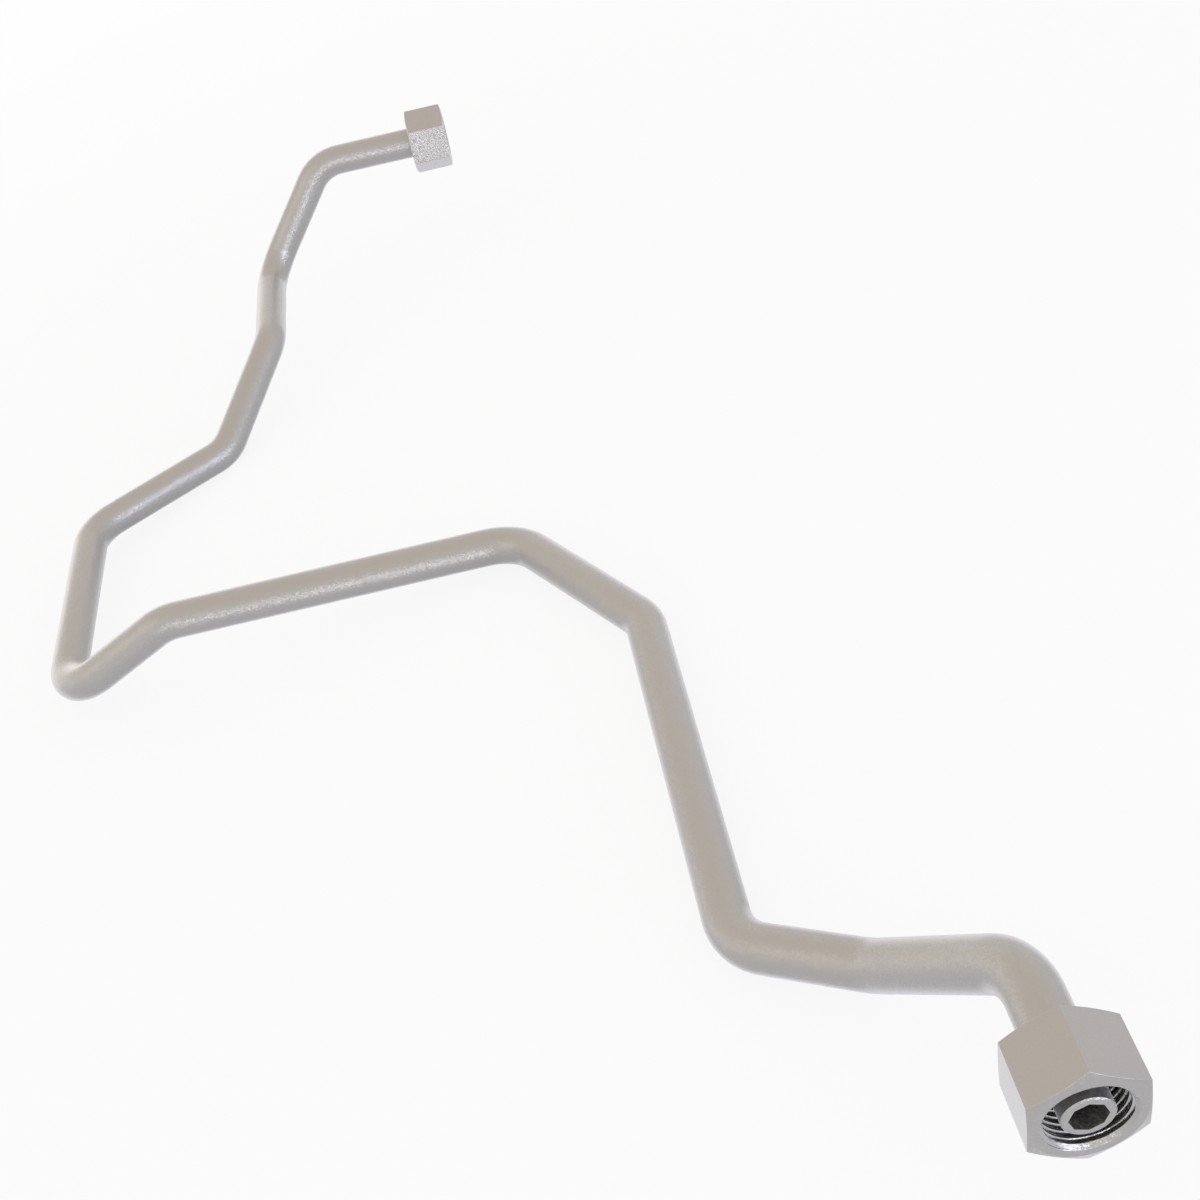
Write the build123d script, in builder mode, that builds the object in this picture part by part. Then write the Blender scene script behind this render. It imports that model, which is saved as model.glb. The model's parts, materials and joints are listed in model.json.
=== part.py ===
"""A rigid air conditioning pipe: one bent aluminium tube with a swivel nut at each end.

Each end of the tube is formed into a bead and a thinner pilot, which carries an O-ring in a
groove. The nut turns on the tube behind the bead. Screwed onto a port, it pulls the bead up
to the port's mouth, and the pilot and its O-ring seal inside.

The legs are written in the frame in which the pipe is installed: X runs along its four
parallel legs and Z is up. Lying loose, the pipe has rolled about X until its longest leg and
one bend touch the floor. It is modelled like that, with the origin on the floor under the
middle of its box.
"""

import os
from math import atan2, cos, radians, sin, tan

from build123d import *

os.makedirs("parts", exist_ok=True)

# Tube
tube_diameter = 12.7
tube_wall = 1.25
bend_radius = 19.0  # of the centreline, the same in every bend

# Straight legs, from corner to corner and from one pilot's face to the other's
front_leg = 37.0
long_leg = 132.0
cross_leg = 124.0
far_leg = 105.5
high_leg = 64.0
rear_leg = 58.0
legs = [
    (front_leg, 0, 0),
    (33, 24, -32),
    (25.5, 29, -12),
    (long_leg, 0, 0),
    (65, 34.5, -5.5),
    (0, cross_leg, 0),
    (1.5, 44, -24),
    (far_leg, 0, 0),
    (32, -55, 3.5),
    (43.5, -25, 22.5),
    (high_leg, 0, 0),
    (11.5, -34, 41.5),
    (0, -rear_leg, 0),
]
resting_leg = 3  # the leg that starts at this corner lies along the floor

# Formed ends
pilot_step = 0.85  # from the tube down to the pilot
pilot_wall = 1.45
pilot_length = 8.0  # from the pilot's face to the bead
pilot_chamfer = 0.3
bead_rise = 1.65  # above the tube
bead_width = 2.6
bead_rounding = 1.0

# O-rings, each in a groove beside the bead
ring_section = 1.8
ring_gap = 0.02  # between the ring and the floor of its groove
ring_side_gap = 0.2
groove_depth = 0.3

# Swivel nuts
nut_length = 16.5
nut_wall = 2.35  # from the root of the thread to the flats
nut_overhang = 0.45  # from the pilot's face to the nut's
nut_face_margin = 0.5  # of each face inside the flats
nut_chamfer_angle = 15.0
nut_clearance = 0.25  # round the tube
nut_end_play = 0.3  # between the bead and the nut's shoulder
bead_clearance = 0.75  # between the bead and the tapped bore
thread_depth = 0.9  # of the tapped bore, whose thread is left to the visual model
relief_width = 1.6
front_nut_turn = 0.0  # of a corner of the hexagon from upright, about the end's own axis
rear_nut_turn = -9.0

# What follows from them
pilot_diameter = tube_diameter - 2 * pilot_step
pilot_bore = pilot_diameter - 2 * pilot_wall
bead_diameter = tube_diameter + 2 * bead_rise
groove_diameter = pilot_diameter - 2 * groove_depth
groove_width = ring_section + 2 * ring_side_gap
thread_minor = bead_diameter + 2 * bead_clearance
thread_major = thread_minor + 2 * thread_depth
nut_across_flats = thread_major + 2 * nut_wall
nut_face_diameter = nut_across_flats - 2 * nut_face_margin
tube_radius = tube_diameter / 2
bore_radius = tube_radius - tube_wall
formed_length = pilot_length + bead_width
nut_corner_radius = nut_across_flats / 2 / cos(radians(30))
corners = [Vector(0, 0, 0)]
for leg in legs:
    corners.append(corners[-1] + Vector(leg))

# The lean: how far the pipe rolls about X until nothing is lower than the resting leg
with BuildLine() as installed:
    FilletPolyline(*corners, radius=bend_radius)
route = [edge @ (step / 100) for edge in installed.edges() for step in range(101)]
leg_point = corners[resting_leg]
lean = max(
    atan2(leg_point.Z - point.Z, point.Y - leg_point.Y)
    for point in route
    if point.Y > leg_point.Y + tube_radius
)

# The installed frame as it lies: rolled, set on the floor and centred over the origin
installed_up = Vector(0, -sin(lean), cos(lean))
rolled = Plane((0, 0, 0), x_dir=(1, 0, 0), z_dir=installed_up)
far_side = max(rolled.from_local_coords(point).Y for point in route) + tube_radius
near_side = -nut_corner_radius
rear_end = corners[-1].X + nut_corner_radius
front_end = -nut_overhang
floor = rolled.from_local_coords(leg_point).Z - tube_radius
lying = Plane(
    (-(front_end + rear_end) / 2, -(near_side + far_side) / 2, -floor),
    x_dir=(1, 0, 0),
    z_dir=installed_up,
)
points = [lying.from_local_coords(corner) for corner in corners]


def end_plane(tip, neighbour, turn):
    """The pilot's face: z points out of the pipe, and x to a corner of the nut's hexagon."""
    outward = tip - neighbour
    corner = installed_up.rotate(Axis((0, 0, 0), outward), turn)
    return Plane(tip, x_dir=corner, z_dir=outward)


def profile_plane(end):
    """The plane that holds the end's axis: x runs outward along it, and y away from it."""
    return Plane(end.origin, x_dir=end.z_dir, z_dir=-end.y_dir)


def end_axis(end):
    """The axis that everything at this end is turned about."""
    return Axis(end.origin, end.z_dir)


ends = {
    "front": end_plane(points[0], points[1], front_nut_turn),
    "rear": end_plane(points[-1], points[-2], rear_nut_turn),
}


def inward(tip, neighbour, distance):
    """The point of the end leg that lies this far in from its tip."""
    return tip + (neighbour - tip).normalized() * distance


# The pipe: a ring swept along the bends, with both ends formed
with BuildPart() as pipe:
    with BuildLine() as centreline:
        FilletPolyline(
            inward(points[0], points[1], formed_length),
            *points[1:-1],
            inward(points[-1], points[-2], formed_length),
            radius=bend_radius,
        )
    with BuildSketch(Plane(centreline.line @ 0, z_dir=centreline.line % 0)):
        Circle(tube_radius)
        Circle(bore_radius, mode=Mode.SUBTRACT)
    sweep(path=centreline.line)
    for end in ends.values():
        with BuildSketch(profile_plane(end)) as formed_end:
            with BuildLine():
                Polyline(
                    (0, pilot_bore / 2),
                    (0, pilot_diameter / 2 - pilot_chamfer),
                    (-pilot_chamfer, pilot_diameter / 2),
                    (groove_width - pilot_length, pilot_diameter / 2),
                    (groove_width - pilot_length, groove_diameter / 2),
                    (-pilot_length, groove_diameter / 2),
                    (-pilot_length, bead_diameter / 2),
                    (-formed_length, bead_diameter / 2),
                    (-formed_length, bore_radius),
                    (-pilot_length, pilot_bore / 2),
                    close=True,
                )
            make_face()
            rim = formed_end.vertices().group_by(Axis(end.origin, profile_plane(end).y_dir))[-1]
            fillet(rim, bead_rounding)
        revolve(axis=end_axis(end))
pipe.part.label = "pipe"
export_step(pipe.part, "parts/pipe.step")

# The O-rings, each in its groove beside the bead
ring_radius = groove_diameter / 2 + ring_gap + ring_section / 2
for name, end in ends.items():
    with BuildPart() as o_ring:
        with BuildSketch(profile_plane(end)):
            with Locations((groove_width / 2 - pilot_length, ring_radius)):
                Circle(ring_section / 2)
        revolve(axis=end_axis(end))
    o_ring.part.label = f"{name}_o_ring"
    export_step(o_ring.part, f"parts/{name}_o_ring.step")

# The nuts: hexagonal bar, turned to a chamfer at both ends and bored from the front
chamfer_rise = nut_corner_radius - nut_face_diameter / 2
chamfer_length = chamfer_rise * tan(radians(nut_chamfer_angle))
shoulder_depth = nut_overhang + formed_length + nut_end_play
rear_hole_radius = tube_radius + nut_clearance
for name, end in ends.items():
    face = end.offset(nut_overhang)
    with BuildPart() as nut:
        with BuildSketch(face):
            RegularPolygon(nut_corner_radius, side_count=6)
        extrude(amount=-nut_length)
        with BuildSketch(profile_plane(face)):
            with BuildLine():
                Polyline(
                    (0, 0),
                    (0, nut_face_diameter / 2),
                    (-chamfer_length, nut_corner_radius),
                    (chamfer_length - nut_length, nut_corner_radius),
                    (-nut_length, nut_face_diameter / 2),
                    (-nut_length, 0),
                    close=True,
                )
            make_face()
        revolve(axis=end_axis(end), mode=Mode.INTERSECT)
        with BuildSketch(profile_plane(face)):
            with BuildLine():
                Polyline(
                    (0, 0),
                    (0, thread_major / 2),
                    (-thread_depth, thread_minor / 2),
                    (relief_width - shoulder_depth, thread_minor / 2),
                    (relief_width - shoulder_depth, thread_major / 2),
                    (-shoulder_depth, thread_major / 2),
                    (-shoulder_depth, rear_hole_radius),
                    (-nut_length, rear_hole_radius),
                    (-nut_length, 0),
                    close=True,
                )
            make_face()
        revolve(axis=end_axis(end), mode=Mode.SUBTRACT)
    nut.part.label = f"{name}_nut"
    export_step(nut.part, f"parts/{name}_nut.step")
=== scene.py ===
# %% [markdown]
# # An air conditioning pipe in satin aluminium
#
# The object is one rigid aluminium tube with twelve bends. Each end is formed into a bead and a
# thin pilot, and carries a hexagonal swivel nut. This lesson builds the surfaces that are seen.
# They lie exactly where the imported CAD model has them, so the model is loaded first.

# %% Load the imported model
import json
from math import atan2, cos, degrees, pi, radians, sin, tan

import bmesh
import bpy
import numpy as np
from mathutils import Matrix, Vector


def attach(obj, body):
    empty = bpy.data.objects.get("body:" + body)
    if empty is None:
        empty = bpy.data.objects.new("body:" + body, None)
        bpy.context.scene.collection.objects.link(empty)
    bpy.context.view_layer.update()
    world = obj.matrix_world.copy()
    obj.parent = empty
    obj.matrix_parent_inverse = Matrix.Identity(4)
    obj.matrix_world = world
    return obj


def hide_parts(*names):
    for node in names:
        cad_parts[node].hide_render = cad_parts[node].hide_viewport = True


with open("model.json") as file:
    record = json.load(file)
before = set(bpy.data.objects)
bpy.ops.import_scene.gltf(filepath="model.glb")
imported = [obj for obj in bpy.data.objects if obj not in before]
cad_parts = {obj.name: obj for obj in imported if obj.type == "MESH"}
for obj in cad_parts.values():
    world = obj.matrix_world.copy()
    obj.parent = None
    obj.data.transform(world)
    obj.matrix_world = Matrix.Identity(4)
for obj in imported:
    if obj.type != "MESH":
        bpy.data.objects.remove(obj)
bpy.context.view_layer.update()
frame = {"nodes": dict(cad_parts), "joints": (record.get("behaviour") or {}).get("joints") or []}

mm = 0.001
inch = 25.4 * mm
print("CAD nodes:", sorted(frame["nodes"]))

# %% [markdown]
# ## Where the two ends are
#
# A joint of the model stands on the axis of each end, 7.8 mm in from the face of the pilot, and
# its axis points out of the pipe. That is enough to place everything. The pipe is drawn as it
# is installed, with four parallel legs along X and Z up. Lying loose it has rolled about X, and
# the rear axis tells by how much, because that end is level when the pipe is installed.

# %% Ends and lean
joints = {joint["name"]: joint for joint in frame["joints"]}
joint_depth = 7.8 * mm


def end_of_pipe(joint_name):
    """The centre of a pilot's face and the direction that points out of the pipe there.

    In words: the joint's own point, moved out along the joint's axis by the joint's depth."""
    joint = joints[joint_name]
    outward = np.array(joint["axis"], float)
    return np.array(joint["pos_m"], float) + joint_depth * outward, outward


ends = {name: end_of_pipe(f"{name}_nut_swivel") for name in ("front", "rear")}
front_tip = ends["front"][0]
rear_tip, rear_axis = ends["rear"]
lean = atan2(-rear_axis[2], -rear_axis[1])
upright = np.array([0, -sin(lean), cos(lean)])
print("lean in degrees:", round(degrees(lean), 3))

# %% [markdown]
# ## A mesh from a grid
#
# Every piece here is a function of two parameters, worked out on a grid of rows and columns.
# One helper turns such a grid into a mesh: it joins each point to its neighbours, merges the
# points that fall together where a seam closes, and checks that the faces look outwards. Edges
# sharper than a set angle stay sharp, and the rest are shaded smooth.

# %% Grid helper
sharp_angle = radians(12.5)
weld_distance = 0.0005 * mm


def grid_mesh(name, points, closed_columns, finish=0):
    """A closed mesh from a grid of points with the shape (rows, columns, 3).

    In words: each face joins a point, the next in its row, and the two above them. The last
    row always meets the first. The volume is the sum over the triangles of a sixth of
    corner . (corner x corner), and if it comes out negative, all faces are turned over. A
    face takes the number of its material from its first point."""
    rows, columns = points.shape[:2]
    finish = np.broadcast_to(finish, (rows, columns))[:, : columns if closed_columns else -1]
    index = np.arange(rows * columns).reshape(rows, columns)
    above = np.roll(index, -1, axis=0)
    if closed_columns:
        right, above_right = np.roll(index, -1, axis=1), np.roll(above, -1, axis=1)
    else:
        right, above_right = index[:, 1:], above[:, 1:]
        index, above = index[:, :-1], above[:, :-1]
    faces = np.stack([index, right, above_right, above], axis=-1).reshape(-1, 4)
    flat = points.reshape(-1, 3)
    a, b, c, d = (flat[faces[:, k]] for k in range(4))
    volume = (np.einsum("ij,ij->", a, np.cross(b, c)) + np.einsum("ij,ij->", a, np.cross(c, d))) / 6
    if volume < 0:
        faces = faces[:, ::-1]
    mesh = bpy.data.meshes.new(name)
    mesh.vertices.add(len(flat))
    mesh.vertices.foreach_set("co", flat.ravel())
    mesh.loops.add(faces.size)
    mesh.loops.foreach_set("vertex_index", faces.ravel())
    mesh.polygons.add(len(faces))
    mesh.polygons.foreach_set("loop_start", np.arange(0, faces.size, 4))
    mesh.polygons.foreach_set("material_index", finish.ravel().astype(np.int32))
    mesh.update(calc_edges=True)
    welded = bmesh.new()
    welded.from_mesh(mesh)
    bmesh.ops.remove_doubles(welded, verts=welded.verts, dist=weld_distance)
    welded.to_mesh(mesh)
    welded.free()
    mesh.validate()
    mesh.polygons.foreach_set("use_smooth", np.ones(len(mesh.polygons), bool))
    mesh.set_sharp_from_angle(angle=sharp_angle)
    piece = bpy.data.objects.new(name, mesh)
    bpy.context.scene.collection.objects.link(piece)
    print(name, "faces:", len(mesh.polygons), "volume in mm3:", round(abs(volume) / mm**3))
    return piece


# %% [markdown]
# ## The route of the tube
#
# A tube bender knows a pipe as a list of straight legs and one bend radius. The same list is
# written here, corner to corner. At each corner an arc replaces the point, and the legs are
# shortened to meet it. A ring of the tube will stand on every station of this line, so the
# stations are close together in the bends and a few millimetres apart on the legs.

# %% Legs and corners
tube_radius = 6.35 * mm
bore_radius = 5.1 * mm
bend_radius = 19 * mm
legs = mm * np.array([
    (37, 0, 0),
    (33, 24, -32),
    (25.5, 29, -12),
    (132, 0, 0),
    (65, 34.5, -5.5),
    (0, 124, 0),
    (1.5, 44, -24),
    (105.5, 0, 0),
    (32, -55, 3.5),
    (43.5, -25, 22.5),
    (64, 0, 0),
    (11.5, -34, 41.5),
    (0, -58, 0),
])
across = np.array([0, cos(lean), sin(lean)])
installed_axes = np.array([(1, 0, 0), across, upright])
corners = front_tip + np.vstack([np.zeros(3), np.cumsum(legs, axis=0)]) @ installed_axes
print("far corner misses the rear tip by, in mm:", np.round((corners[-1] - rear_tip) / mm, 3))

# %% Straight and bent stretches
bend_steps = 22
leg_step = 6 * mm


def unit(vectors):
    """Vectors divided by their own length."""
    return vectors / np.linalg.norm(vectors, axis=-1, keepdims=True)


def leg_points(start, end, with_end=False):
    """Points of a straight leg: its start, plus equal shares of the way to its end.

    In words: there are as many shares as a leg_step goes into the leg, and two at least."""
    count = max(2, int(np.linalg.norm(end - start) / leg_step))
    shares = np.linspace(0, 1, count, endpoint=with_end)[:, None]
    return start + shares * (end - start)


def turned(vector, ahead, inside, angle):
    """A vector carried round a bend by an array of angles.

    In words: the part of it along the bend's axle stays. The parts along the way ahead and
    towards the inside of the bend turn in their plane as a clock hand does."""
    axle = np.cross(ahead, inside)
    angle = angle[:, None]
    new_ahead = np.cos(angle) * ahead + np.sin(angle) * inside
    new_inside = np.cos(angle) * inside - np.sin(angle) * ahead
    return (vector @ axle) * axle + (vector @ ahead) * new_ahead + (vector @ inside) * new_inside


# %% Stations along the centreline
def carried_line(corners, radius):
    """Points on the rounded line through the corners, with the way ahead and a side at each.

    In words: a bend of angle a begins radius times tan(a / 2) before its corner. A point of
    the bend is its beginning, plus radius times sin(t) along the way ahead, plus radius times
    1 - cos(t) towards the inside, for t from 0 to a. Both directions are turned with it, and
    on a leg they stay."""
    ahead = unit(np.diff(corners, axis=0))
    side = unit(np.cross(ahead[0], upright))
    start = corners[0]
    stretches = []
    for corner, before, after in zip(corners[1:-1], ahead, ahead[1:]):
        angle = np.arccos(before @ after)
        inside = unit(after - (after @ before) * before)
        beginning = corner - radius * tan(angle / 2) * before
        stretches.append((leg_points(start, beginning), before, side))
        t = np.linspace(0, angle, bend_steps)
        reach = np.sin(t)[:, None] * before + (1 - np.cos(t))[:, None] * inside
        bend = beginning + radius * reach
        sides = turned(side, before, inside, t)
        stretches.append((bend, turned(before, before, inside, t), sides))
        start, side = bend[-1], sides[-1]
    stretches.append((leg_points(start, corners[-1], with_end=True)[1:], ahead[-1], side))
    filled = [np.broadcast_arrays(*stretch) for stretch in stretches]
    return [np.vstack(arrays) for arrays in zip(*filled)]


line, line_ways, line_sides = carried_line(corners, bend_radius)
travelled = np.concatenate([[0], np.cumsum(np.linalg.norm(np.diff(line, axis=0), axis=1))])
tube_length = travelled[-1]
print("stations:", len(line), "length of the centreline in mm:", round(tube_length / mm, 1))

# %% [markdown]
# ## The formed ends
#
# On the real pipe a press upsets the end of the tube: it pushes up a rounded bead and draws the
# metal in front of it down to a thin pilot, with a groove for a rubber ring. Drawn as a profile
# of distance from the tip against radius, it is a short list. The pipe is then one profile
# carried along the route: out over the front end, along the tube, over the rear end, and back
# through the bore, so that it is closed and has a real wall.
#
# The punch that sizes the pilot's bore has eight sides, and the bore keeps its mark: eight
# straight sides with their corners on the bore's circle. Its rows are the only ones whose
# radius depends on the angle.

# %% Profile of one end
pilot_radius = 5.5 * mm
pilot_bore_radius = 4.05 * mm
pilot_length = 8 * mm
pilot_chamfer = 0.3 * mm
groove_radius = 5.2 * mm
groove_width = 2.2 * mm
bead_radius = 8 * mm
bead_width = 2.6 * mm
bead_rounding = 1 * mm
rounding_steps = 10
formed_length = pilot_length + bead_width


def rounding(centre, first, last):
    """Points of the bead's rounding: its centre plus its radius times cos and sin of the angle."""
    angle = np.radians(np.linspace(first, last, rounding_steps))
    return np.array(centre) + bead_rounding * np.stack([np.cos(angle), np.sin(angle)], axis=1)


groove_start = pilot_length - groove_width
rounding_height = bead_radius - bead_rounding
end_outside = np.vstack([
    (0, pilot_radius - pilot_chamfer),
    (pilot_chamfer, pilot_radius),
    (groove_start, pilot_radius),
    (groove_start, groove_radius),
    (pilot_length, groove_radius),
    rounding((pilot_length + bead_rounding, rounding_height), 180, 90),
    rounding((formed_length - bead_rounding, rounding_height), 90, 0),
    (formed_length, tube_radius),
])
end_inside = np.array([
    (0, pilot_bore_radius),
    (pilot_length, pilot_bore_radius),
    (formed_length, bore_radius),
])
print("points in an end's profile:", len(end_outside), "outside and", len(end_inside), "inside")

# %% Profile of the whole pipe
clear_of_end = formed_length + mm


def from_rear(profile):
    """The same profile at the other end: distances count back from the end of the tube."""
    return (profile * (-1, 1) + (tube_length, 0))[::-1]


between = travelled[(travelled > clear_of_end) & (travelled < tube_length - clear_of_end)]
along_tube = np.stack([between, np.full(len(between), tube_radius)], axis=1)
along_bore = np.stack([between, np.full(len(between), bore_radius)], axis=1)
outside = np.vstack([end_outside, along_tube, from_rear(end_outside)])
inside = np.vstack([end_inside, along_bore, from_rear(end_inside)])
pipe_profile = np.vstack([outside, inside[::-1]])
print("rows outside:", len(outside), "rows inside:", len(inside))

# %% The pipe
pipe_columns = 80
bore_sides = 8


def polygon_share(u, sides):
    """How far the outline of a polygon is from its middle, where its corners are at 1.

    In words: the cosine of half a side's angle, over the cosine of the angle from the middle
    of the side."""
    half = pi / sides
    return cos(half) / np.cos(u % (2 * half) - half)


def sweep(profile, columns, sided):
    """A profile of distances and radii carried along the route.

    In words: the place at a distance is read off the stations, and a point of the ring is that
    place plus radius times cos(u) along one side direction and sin(u) along the other. Every
    distance is that of a station or lies on a straight leg, so reading it off is exact. In a row
    that is sided, the radius is that of a polygon's corners."""
    distance, radius = profile.T
    place, ahead, side = (
        np.stack([np.interp(distance, travelled, values[:, k]) for k in range(3)], axis=1)
        for values in (line, line_ways, line_sides)
    )
    other_side = np.cross(ahead, side)
    u = np.linspace(0, 2 * pi, columns, endpoint=False)[None, :, None]
    ring = np.cos(u) * side[:, None] + np.sin(u) * other_side[:, None]
    share = np.where(sided[:, None, None], polygon_share(u, bore_sides), 1)
    return place[:, None] + radius[:, None, None] * share * ring


in_bore = np.arange(len(pipe_profile)) >= len(outside)
in_bore[-1] = False  # the faces from the last row to the first are the front pilot's own face
in_pilot_bore = pipe_profile[:, 1] == pilot_bore_radius
pipe_points = sweep(pipe_profile, pipe_columns, in_pilot_bore)
pipe = grid_mesh("bent_pipe", pipe_points, closed_columns=True, finish=in_bore[:, None])
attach(pipe, "pipe")
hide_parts("pipe")

# %% [markdown]
# ## The rubber rings
#
# An O-ring is a torus. It sits in the groove beside the bead and a touch clear of its floor, as
# a ring does before it is pressed into a port. One function places any shape that is turned
# about an end's axis: it takes a radius, a height along the axis, measured outwards from the
# face of the pilot, and an angle from upright.

# %% Shapes turned about an end
def about_end(tip, axis, radius, height, angle):
    """Points round the axis of an end.

    In words: the tip, plus the height along the axis, plus radius times cos(angle) towards
    upright and sin(angle) sideways. All of them may be arrays that broadcast together."""
    towards_top = unit(upright - (upright @ axis) * axis)
    sideways = np.cross(axis, towards_top)
    radius, height, angle = (x[..., None] for x in np.broadcast_arrays(radius, height, angle))
    return tip + height * axis + radius * (np.cos(angle) * towards_top + np.sin(angle) * sideways)


ring_section = 0.9 * mm
ring_gap = 0.02 * mm
ring_middle = groove_radius + ring_gap + ring_section
ring_height = groove_width / 2 - pilot_length
ring_rows = 28
ring_columns = 72


def o_ring(name, tip, axis):
    """A torus: radius = middle + section times cos(v), height = section times sin(v)."""
    v = np.linspace(0, 2 * pi, ring_rows, endpoint=False)[:, None]
    angle = np.linspace(0, 2 * pi, ring_columns, endpoint=False)[None, :]
    radius = ring_middle + ring_section * np.cos(v)
    points = about_end(tip, axis, radius, ring_height + ring_section * np.sin(v), angle)
    return grid_mesh(name, points, closed_columns=True)


rings = {}
for end, (tip, axis) in ends.items():
    rings[end] = o_ring(f"{end}_rubber_ring", tip, axis)
    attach(rings[end], "pipe")
    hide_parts(f"{end}_o_ring")

# %% [markdown]
# ## The swivel nuts
#
# A swivel nut is cut from hexagonal bar: turned to a flat chamfer at both ends, bored through
# for the tube, tapped, and undercut behind the thread. Round the axis it is a function of an
# angle and of a place in its profile. The hexagon makes the outer radius depend on the angle,
# and the chamfer, which is a cone, makes the height of the flats' edge follow from that radius.
# That gives the curved edges that a turned hexagon has. All edges are eased a little, because
# a real edge is never quite sharp and catches the light.

# %% The hexagon
across_flats = 24 * mm
corner_rounding = 0.3 * mm
flat_angle = radians(60)
half_flat = flat_angle / 2
apothem = across_flats / 2
corner_centre = (apothem - corner_rounding) / cos(half_flat)
corner_reach = atan2(
    corner_rounding * sin(half_flat), corner_centre + corner_rounding * cos(half_flat)
)


def hexagon_radius(from_corner):
    """How far the outline of a rounded hexagon is from its middle.

    In words: on a flat it is the apothem over the cosine of the angle from the flat's middle.
    At a corner it is where a ray meets a small circle, c cos(a) + root(r2 - c2 sin2(a))."""
    a = np.abs(from_corner)
    flat = apothem / np.cos(half_flat - a)
    inside_root = np.maximum(corner_rounding**2 - (corner_centre * np.sin(a)) ** 2, 0)
    rounded = corner_centre * np.cos(a) + np.sqrt(inside_root)
    return np.where(a < corner_reach, rounded, flat)


print("corner of the hexagon, from the middle, in mm:", round(float(hexagon_radius(0)) / mm, 3))

# %% Columns round the nut
corner_columns = 9
flat_columns = 14
beside_corner = radians(0.35)  # a strip of flat that keeps the shading of the flats from bending
corner_steps = np.linspace(-corner_reach, corner_reach, corner_columns)
flat_start = corner_reach + beside_corner
flat_steps = np.linspace(flat_start, flat_angle - flat_start, flat_columns)
one_corner = np.concatenate([corner_steps, flat_steps])
turn = (flat_angle * np.arange(6)[:, None] + one_corner).ravel()
turn = np.append(turn, turn[0] + 2 * pi)
outline = hexagon_radius((turn + half_flat) % flat_angle - half_flat)
print("columns round the nut:", len(turn))

# %% [markdown]
# ## The nut's profile
#
# From the mouth out over the face, down the outside, back through the rear hole and over the
# undercut, the profile has nine corners between its first point and its last. Each is eased:
# two points near the corner are joined by a short curve. Heights run outwards from the nut's
# front face, so that all of them are zero or less.

# %% Easing
ease_steps = 7
plain_reach = 1.6  # times the size of the easing, from the corner to a row of plain flat


def eased(corners, sizes):
    """Rows of a profile with its corners eased.

    In words: for a corner c between the neighbours before and after it, the points are
    c + size (1 - t)2 towards before + size t2 towards after, with t from 0 to 1. A row of plain
    flat on each side keeps the shading of the flats from bending."""
    rows = []
    t = np.linspace(0, 1, ease_steps)[:, None, None]
    for before, corner, after, size in zip(corners, corners[1:], corners[2:], sizes):
        back, forth = unit(before - corner), unit(after - corner)
        rows.append((corner + plain_reach * size * back)[None])
        rows.append(corner + size * ((1 - t) ** 2 * back + t**2 * forth))
        rows.append((corner + plain_reach * size * forth)[None])
    return np.concatenate(rows)


# %% Rows of the shell
nut_length = 16.5 * mm
nut_face_radius = 11.5 * mm
chamfer_slope = tan(radians(15))
drop = (outline - nut_face_radius) * chamfer_slope
rear_hole_radius = 6.6 * mm
relief_radius = 9.65 * mm
relief_end = -11.35 * mm
thread_end = -9.75 * mm
crest_radius = 8.75 * mm
mouth_run = 0.5 * mm
radii_and_heights = [
    (relief_radius - mouth_run, -mouth_run),
    (relief_radius, 0),
    (nut_face_radius, 0),
    (outline, -drop),
    (outline, drop - nut_length),
    (nut_face_radius, -nut_length),
    (rear_hole_radius, -nut_length),
    (rear_hole_radius, relief_end),
    (relief_radius, relief_end),
    (relief_radius, thread_end),
    (crest_radius, thread_end),
]
easing = mm * np.array([0.04, 0.08, 0.1, 0.1, 0.08, 0.15, 0.02, 0.15, 0.01])  # corner by corner


def profile_corner(radius, height):
    """One corner of the profile all the way round: a radius and a height for each column."""
    return np.stack([np.full_like(turn, radius), np.full_like(turn, height)], axis=1)


nut_corners = np.stack([profile_corner(*corner) for corner in radii_and_heights])
shell = eased(nut_corners, easing)
shell_top = shell[0, 0, 1]
print("rows of the shell:", len(shell))

# %% [markdown]
# ## The thread
#
# The nut is tapped with a fine inch thread, sixteen to the inch. Its rows follow the helix:
# one turn round the nut lifts a row by one pitch, so that crests and roots run along rows and
# stay crisp. At both ends the rows are held at the height where the shell takes over. There
# they fall together and are merged. A countersink at the mouth cuts the first turns away,
# simply because the larger of the two radii is taken.

# %% Shape of the thread
pitch = inch / 16
root_radius = 9.525 * mm
crest_share = 0.31
root_share = 0.125
crest_crown = 0.06 * mm
flank_share = (1 - crest_share - root_share) / 2
edge_radius = crest_radius + crest_crown
stops = np.cumsum([0, crest_share, flank_share, root_share, flank_share])
stop_radii = [edge_radius, edge_radius, root_radius, root_radius, edge_radius]


def thread_radius(phase):
    """The radius of the thread where a phase runs from 0 to 1 over a pitch.

    In words: a crest, a straight flank out to the root, the root, and back. On the crest the
    radius is its least plus the crown times the square of the way from its middle, where the
    crest's edges are at 1."""
    phase = phase % 1
    from_middle = np.clip(2 * phase / crest_share - 1, -1, 1)
    return np.interp(phase, stops, stop_radii) - crest_crown * (1 - from_middle**2)


print("pitch of the thread in mm:", round(pitch / mm, 4), "pitches:", round(-thread_end / pitch, 2))

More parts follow.
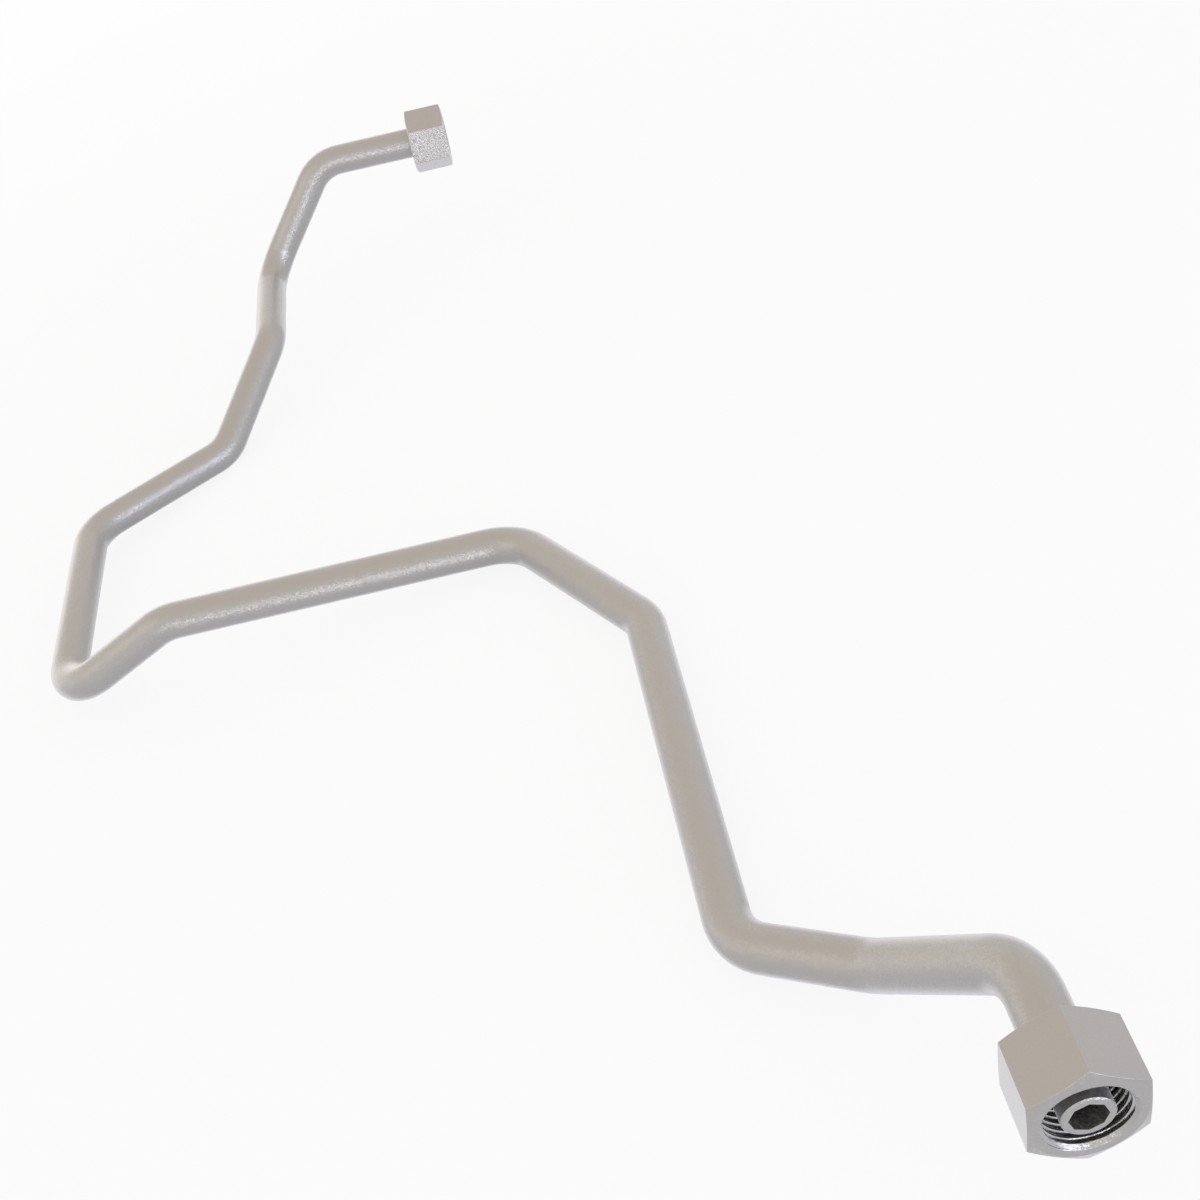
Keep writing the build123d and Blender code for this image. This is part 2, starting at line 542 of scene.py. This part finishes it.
# %% The thread's rows
rows_of_stretches = (6, 5, 3, 5)
within_pitch = np.concatenate([
    np.linspace(first, last, rows, endpoint=False)
    for first, last, rows in zip(stops, stops[1:], rows_of_stretches)
])
spare_turn = 1  # because a row begins a pitch lower than it ends
turns_of_thread = int(np.ceil(-thread_end / pitch)) + spare_turn
rise = (np.arange(turns_of_thread)[:, None] + within_pitch).ravel()[:, None]
around = (turn - turn[0])[None, :] / (2 * pi)
thread_height = np.clip(thread_end + pitch * (rise + around - 1), thread_end, shell_top)
phase = (thread_height - thread_end) / pitch - around
cut_radius = thread_radius(phase)
countersink_radius = relief_radius + thread_height
tapped = np.stack([np.maximum(cut_radius, countersink_radius), thread_height], axis=-1)
nut_rows = np.concatenate([shell, tapped])
print("rows of thread:", len(rise), "rows of the nut:", len(nut_rows))

# %% [markdown]
# ## Where the nut is tapped
#
# The undercut and the thread get a finish of their own, and the outside, the countersink and the
# rear hole share the other. The undercut begins in the middle of the easing at the seventh
# corner, where the rear hole meets the shoulder. The thread ends where the countersink cuts it.

# %% Tapped faces
corners_before_relief = 6
rows_of_corner = ease_steps + 2
last_plain_row = corners_before_relief * rows_of_corner + ease_steps // 2
in_relief = np.arange(len(shell)) > last_plain_row
in_thread = cut_radius > countersink_radius
nut_finish = np.concatenate([np.broadcast_to(in_relief[:, None], shell.shape[:2]), in_thread])
print("share of the nut's grid that is tapped:", round(float(nut_finish.mean()), 3))

# %% Both nuts
nut_overhang = 0.45 * mm
nut_turns = {"front": radians(0), "rear": radians(-9)}  # of a corner from upright, as in the CAD
nuts = {}
for end, (tip, axis) in ends.items():
    angle = turn + nut_turns[end]
    points = about_end(tip + nut_overhang * axis, axis, nut_rows[..., 0], nut_rows[..., 1], angle)
    nuts[end] = grid_mesh(f"{end}_swivel_nut", points, closed_columns=False, finish=nut_finish)
    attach(nuts[end], f"{end}_nut")
    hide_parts(f"{end}_nut")

# %% [markdown]
# ## Nodes that are used several times
#
# All finishes here are made of a few kinds of node. A small function for each kind sets its
# numbers as it makes it, so that a finish reads as a short list. What a finish is like all over
# is set on the shader's own sockets, and only what varies comes through nodes.

# %% Node helpers
def new_material(name):
    """An empty node material with its Principled shader."""
    material = bpy.data.materials.new(name)
    material.use_nodes = True
    return material, material.node_tree.nodes["Principled BSDF"]


def math_node(nodes, kind, operation, second=None):
    """A Math or Vector Math node, with the second of its numbers if that one is fixed."""
    node = nodes.new(kind)
    node.operation = operation
    if second is not None:
        node.inputs[1].default_value = second
    return node


def range_node(nodes, from_limits, to_limits=(0, 1)):
    """A Map Range node: what runs between two limits comes out between two others."""
    node = nodes.new("ShaderNodeMapRange")
    node.inputs["From Min"].default_value, node.inputs["From Max"].default_value = from_limits
    node.inputs["To Min"].default_value, node.inputs["To Max"].default_value = to_limits
    return node


def colours_node(nodes, first, second):
    """A Mix node that goes from one colour to another as its factor goes from 0 to 1."""
    node = nodes.new("ShaderNodeMix")
    node.data_type = "RGBA"
    node.inputs["A"].default_value = (*first, 1)
    node.inputs["B"].default_value = (*second, 1)
    return node


# %% [markdown]
# ## Finishes
#
# The tube is drawn aluminium, tumbled to a satin grey. Tumbling leaves small dents, each leaning
# its own way, so the metal sparkles where the light changes quickly and is even elsewhere. Bump
# from a noise would give soft waves. Cells with a random lean give flat grains, as on the real
# skin, and a roughness that wanders a little keeps long reflections from looking drawn.
#
# Where the metal is seen at a low angle, the edges of a round form turn pale. Sheen does part of
# that, and a colour painted pale towards the edge does the rest: a painted rim highlight, which
# stands in for the light that the edges mirror.

# %% Grain
grains_in_cloud = 15
cloud_detail = 2
cloud_limits = (0.3, 0.7)


def add_grain(material, shader, grain_size, tilt, roughness):
    """Grains that lean each its own way, and clouds in the roughness, on object coordinates.

    In words: space is cut into cells about grain_size across. Each cell has a random colour
    from 0 to 1 in three channels. The normal is the surface's own plus tilt times that colour
    less a half, made a unit long. A soft noise, fifteen times as large, moves the roughness
    between its two limits."""
    nodes, links = material.node_tree.nodes, material.node_tree.links
    place = nodes.new("ShaderNodeTexCoord")
    grains = nodes.new("ShaderNodeTexVoronoi")
    grains.inputs["Scale"].default_value = 1 / grain_size
    centred = math_node(nodes, "ShaderNodeVectorMath", "SUBTRACT", (0.5, 0.5, 0.5))
    leaning = math_node(nodes, "ShaderNodeVectorMath", "MULTIPLY_ADD", (tilt, tilt, tilt))
    surface = nodes.new("ShaderNodeNewGeometry")
    unit_long = math_node(nodes, "ShaderNodeVectorMath", "NORMALIZE")
    cloud = nodes.new("ShaderNodeTexNoise")
    cloud.inputs["Scale"].default_value = 1 / (grains_in_cloud * grain_size)
    cloud.inputs["Detail"].default_value = cloud_detail
    spread = range_node(nodes, cloud_limits, roughness)
    links.new(place.outputs["Object"], grains.inputs["Vector"])
    links.new(place.outputs["Object"], cloud.inputs["Vector"])
    links.new(grains.outputs["Color"], centred.inputs[0])
    links.new(centred.outputs["Vector"], leaning.inputs[0])
    links.new(surface.outputs["Normal"], leaning.inputs[2])
    links.new(leaning.outputs["Vector"], unit_long.inputs[0])
    links.new(unit_long.outputs["Vector"], shader.inputs["Normal"])
    links.new(cloud.outputs["Fac"], spread.inputs["Value"])
    links.new(spread.outputs["Result"], shader.inputs["Roughness"])


# %% Metal
pale_limits = (0.53, 0.88)
# the nearly white colour of the painted rim highlight
painted_rim_colour = (0.95, 0.93, 0.91)
sheen_roughness = 0.42


def add_painted_rim_highlight(material, shader, colour):
    """Paints the metal paler where it is seen at a low angle: a painted rim highlight.

    In words: Facing, with its Blend at a half, is one less the cosine of the angle of view.
    Between its two limits the colour goes on a smooth step from the metal's own to nearly
    white."""
    nodes, links = material.node_tree.nodes, material.node_tree.links
    facing = nodes.new("ShaderNodeLayerWeight")
    facing.inputs["Blend"].default_value = 0.5
    paleness = range_node(nodes, pale_limits)
    paleness.interpolation_type = "SMOOTHSTEP"
    # painted rim highlight: towards the edges the base colour is painted nearly white
    rim_paint = colours_node(nodes, colour, painted_rim_colour)
    links.new(facing.outputs["Facing"], paleness.inputs["Value"])
    links.new(paleness.outputs["Result"], rim_paint.inputs["Factor"])
    links.new(rim_paint.outputs["Result"], shader.inputs["Base Color"])


def aluminium(name, colour, sheen, grain_size, tilt, roughness):
    """A finish of bare aluminium. With a sheen it also has a painted pale rim, a painted highlight.
    """
    material, shader = new_material(name)
    shader.inputs["Base Color"].default_value = (*colour, 1)
    shader.inputs["Metallic"].default_value = 1
    shader.inputs["Sheen Weight"].default_value = sheen
    shader.inputs["Sheen Roughness"].default_value = sheen_roughness
    add_grain(material, shader, grain_size, tilt, roughness)
    if sheen:
        # a finish with a sheen also gets the painted rim highlight
        add_painted_rim_highlight(material, shader, colour)
    return material


# %% [markdown]
# ## Four metal finishes
#
# The tube and the nuts share one colour. The nuts are cut from bar, so their grain is finer and
# leans less. The bore is dull as drawn, and its colour is darker as painted shade inside the tube;
# the thread is freshly tapped and bright.
# Neither has a sheen or the painted pale rim. The pipe and each nut hold two materials, and
# each face already has the number of its own.

# %% The finishes of the pipe and the nuts
metal_colour = (0.52, 0.505, 0.475)
satin = aluminium(
    "satin_drawn_aluminium", metal_colour,
    sheen=0.9, grain_size=0.3 * mm, tilt=0.3, roughness=(0.34, 0.4),
)
# the bore's darker colour is painted shade inside the tube; its dullness is its higher roughness
bore_finish = aluminium(
    "dull_bore_painted_shade", (0.42, 0.41, 0.39),
    sheen=0, grain_size=0.4 * mm, tilt=0.3, roughness=(0.4, 0.5),
)
bar = aluminium(
    "satin_cut_bar", metal_colour,
    sheen=0.8, grain_size=0.25 * mm, tilt=0.26, roughness=(0.28, 0.34),
)
tapped_finish = aluminium(
    "bright_tapped_thread", (0.6, 0.59, 0.57),
    sheen=0, grain_size=0.3 * mm, tilt=0.05, roughness=(0.14, 0.2),
)


def give_finishes(piece, finishes):
    """Puts two finishes on a mesh whose faces already have the number of theirs."""
    for finish in finishes:
        piece.data.materials.append(finish)
    numbers = np.zeros(len(piece.data.polygons), np.int32)
    piece.data.polygons.foreach_get("material_index", numbers)
    print(piece.name, "faces of the second finish:", int(numbers.sum()))


give_finishes(pipe, (satin, bore_finish))
for nut in nuts.values():
    give_finishes(nut, (bar, tapped_finish))

# %% [markdown]
# ## Seal rubber
#
# The rings are moulded in dark rubber. It is not metal and not glossy: a rough surface with a
# faint grain is all that shows deep inside the nuts.

# %% Rubber
rubber, rubber_shader = new_material("moulded_seal_rubber")
rubber_shader.inputs["Base Color"].default_value = (0.02, 0.02, 0.021, 1)
add_grain(rubber, rubber_shader, grain_size=0.3 * mm, tilt=0.05, roughness=(0.5, 0.6))
for ring in rings.values():
    ring.data.materials.append(rubber)
print("rings in rubber:", len(rings))

# %% [markdown]
# ## A white that lights nothing
#
# The pipe lies on white, and white walls would flood a metal with light. A photographer keeps
# the room at a middle level and lets only the background go white. Here a ray that comes from
# the camera finds white, a ray mirrored in the metal finds a share of it, and all other rays
# find the plain floor and room, which light the pipe.

# %% White where it is seen
def share_of_white(nodes, links, when_mirrored):
    """The node that says how white a surface looks: wholly to the camera, partly in the metal.

    In words: Is Camera Ray times the node's second number, which is 1 here, plus the larger
    of Is Glossy Ray and Is Transmission Ray times the share when mirrored."""
    rays = nodes.new("ShaderNodeLightPath")
    either = math_node(nodes, "ShaderNodeMath", "MAXIMUM")
    in_metal = math_node(nodes, "ShaderNodeMath", "MULTIPLY", when_mirrored)
    share = math_node(nodes, "ShaderNodeMath", "MULTIPLY_ADD", 1)
    links.new(rays.outputs["Is Glossy Ray"], either.inputs[0])
    links.new(rays.outputs["Is Transmission Ray"], either.inputs[1])
    links.new(either.outputs[0], in_metal.inputs[0])
    links.new(rays.outputs["Is Camera Ray"], share.inputs[0])
    links.new(in_metal.outputs[0], share.inputs[2])
    return share


# %% [markdown]
# ## The floor
#
# A plain matt sheet. Near the pipe the camera sees some of it as it is lit, so that the pipe's
# soft shadow stays, and further out the sheet turns to pure white and has no visible edge. The
# sheet has two paints: nearly white to the camera, and a cooler, darker one to all other rays,
# which is the light that comes up under the pipe.

# %% Floor sheet
floor_size = 5.0
half = floor_size / 2
floor_mesh = bpy.data.meshes.new("floor")
floor_mesh.from_pydata(
    [(-half, -half, 0), (half, -half, 0), (half, half, 0), (-half, half, 0)], [], [(0, 1, 2, 3)]
)
floor = bpy.data.objects.new("floor", floor_mesh)
bpy.context.scene.collection.objects.link(floor)
print("floor size in m:", floor_size)

# %% Floor white
fade_distances = (0.3, 1.2)
white_near_and_far = (0.85, 1)
paint_for_light = (0.71, 0.76, 0.87)
paint_for_camera = (0.94, 0.97, 1)
white, white_shader = new_material("white_floor")
white_shader.inputs["Roughness"].default_value = 0.9
white_shader.inputs["Specular IOR Level"].default_value = 0
nodes, links = white.node_tree.nodes, white.node_tree.links
floor_share = share_of_white(nodes, links, when_mirrored=0.3)
floor_point = nodes.new("ShaderNodeTexCoord")
far_out = math_node(nodes, "ShaderNodeVectorMath", "LENGTH")
fading = range_node(nodes, fade_distances, white_near_and_far)
seen_by = nodes.new("ShaderNodeLightPath")
paint = colours_node(nodes, paint_for_light, paint_for_camera)
glow = nodes.new("ShaderNodeEmission")
glow.inputs["Strength"].default_value = 1
lit_or_white = nodes.new("ShaderNodeMixShader")
links.new(floor_point.outputs["Object"], far_out.inputs[0])
links.new(far_out.outputs["Value"], fading.inputs["Value"])
links.new(fading.outputs["Result"], floor_share.inputs[1])
links.new(seen_by.outputs["Is Camera Ray"], paint.inputs["Factor"])
links.new(paint.outputs["Result"], white_shader.inputs["Base Color"])
links.new(floor_share.outputs[0], lit_or_white.inputs[0])
links.new(white_shader.outputs[0], lit_or_white.inputs[1])
links.new(glow.outputs[0], lit_or_white.inputs[2])
links.new(lit_or_white.outputs[0], nodes["Material Output"].inputs["Surface"])
floor_mesh.materials.append(white)
print("white of the floor, near and far:", white_near_and_far)

# %% [markdown]
# ## The room
#
# An even room gives satin metal its body colour. It is a little cool on one side and low down,
# and warm on the other side and overhead, so that round forms turn from one to the other. How
# far along that change a ray is comes from the dot product of its direction and a warm one.

# %% World
cool_room = (0.8, 0.805, 0.87)
warm_room = (0.8, 0.727, 0.655)
plain_white = (1, 1, 1)
warm_direction = (0.25, 0.25, 0.93)
warm_limits = (-0.3, 0.9)
world = bpy.data.worlds.new("studio")
bpy.context.scene.world = world
world.use_nodes = True
nodes, links = world.node_tree.nodes, world.node_tree.links
background = nodes["Background"]
background.inputs["Strength"].default_value = 1
direction = nodes.new("ShaderNodeTexCoord")
warm_way = math_node(nodes, "ShaderNodeVectorMath", "DOT_PRODUCT", warm_direction)
warmth = range_node(nodes, warm_limits)
room = colours_node(nodes, cool_room, warm_room)
room_or_white = colours_node(nodes, cool_room, plain_white)
world_share = share_of_white(nodes, links, when_mirrored=0.1)
links.new(direction.outputs["Generated"], warm_way.inputs[0])
links.new(warm_way.outputs["Value"], warmth.inputs["Value"])
links.new(warmth.outputs["Result"], room.inputs["Factor"])
links.new(world_share.outputs[0], room_or_white.inputs["Factor"])
links.new(room.outputs["Result"], room_or_white.inputs["A"])
links.new(room_or_white.outputs["Result"], background.inputs["Color"])
print("room colours:", cool_room, warm_room)

# %% [markdown]
# ## Windows
#
# Long low lamps stand round the pipe like windows. What a satin tube shows is mostly their
# reflection: the cool pair on the camera's side draws the bright line along the legs that
# slope towards it, and the two weak warm ones fill the far sides. They are written by how bright
# their surface is, because that is what the metal mirrors.

# %% Lamps
middle_of_pipe = (0, 0, 0.05)


def soft_lamp(name, place, size, brightness, colour):
    """A rectangular lamp that faces the middle of the pipe. Its power is four times its area
    times the brightness of its surface, where a brightness of 1 is white."""
    lamp = bpy.data.lights.new(name, "AREA")
    lamp.shape = "RECTANGLE"
    lamp.size, lamp.size_y = size
    lamp.energy = 4 * size[0] * size[1] * brightness
    lamp.color = colour
    holder = bpy.data.objects.new(name, lamp)
    holder.location = place
    facing = Vector(middle_of_pipe) - Vector(place)
    holder.rotation_euler = facing.to_track_quat("-Z", "Y").to_euler()
    holder.visible_camera = False
    bpy.context.scene.collection.objects.link(holder)
    print(name, "watts:", round(lamp.energy, 2))


soft_lamp("low_window", (-2.36, -0.42, 0.27), (2.2, 0.75), brightness=1.2, colour=(1.0, 1.0, 1.1))
soft_lamp("blue_window", (-1.75, -1.6, 0.27), (1.6, 0.7), brightness=1.8, colour=(0.8, 0.87, 1.3))
soft_lamp("low_wall", (1.7, 1.7, 0.2), (4.2, 0.45), brightness=0.45, colour=(1.0, 0.93, 0.85))
soft_lamp("high_window", (-0.5, 1.4, 1.35), (1.4, 1.0), brightness=0.25, colour=(1.0, 0.97, 0.93))

# %% [markdown]
# ## The camera
#
# The camera stands close over the front end, so that the near nut is large and the far one
# small. It is aimed by three angles: round, down, and a roll, because it is held askew.

# %% Camera
camera_place = (-0.4558, -0.1082, 0.3277)
camera_azimuth = radians(82.97)
camera_drop = radians(37.27)
camera_roll = radians(25.18)
focal_length = 50
sensor_width = 36
nearest_seen = 0.01
forward = Vector((
    cos(camera_drop) * sin(camera_azimuth),
    cos(camera_drop) * cos(camera_azimuth),
    -sin(camera_drop),
))
level_right = forward.cross(Vector((0, 0, 1))).normalized()
level_up = level_right.cross(forward)
camera_up = cos(camera_roll) * level_up + sin(camera_roll) * level_right
camera_right = forward.cross(camera_up)
lens = bpy.data.cameras.new("camera")
lens.lens = focal_length
lens.sensor_width = sensor_width
lens.clip_start = nearest_seen
camera = bpy.data.objects.new("camera", lens)
bpy.context.scene.collection.objects.link(camera)
turned_camera = Matrix((camera_right, camera_up, -forward)).transposed().to_4x4()
camera.matrix_world = Matrix.Translation(camera_place) @ turned_camera
bpy.context.scene.camera = camera
bpy.context.scene.view_settings.view_transform = "Standard"
print("camera looks along:", [round(part, 3) for part in forward])
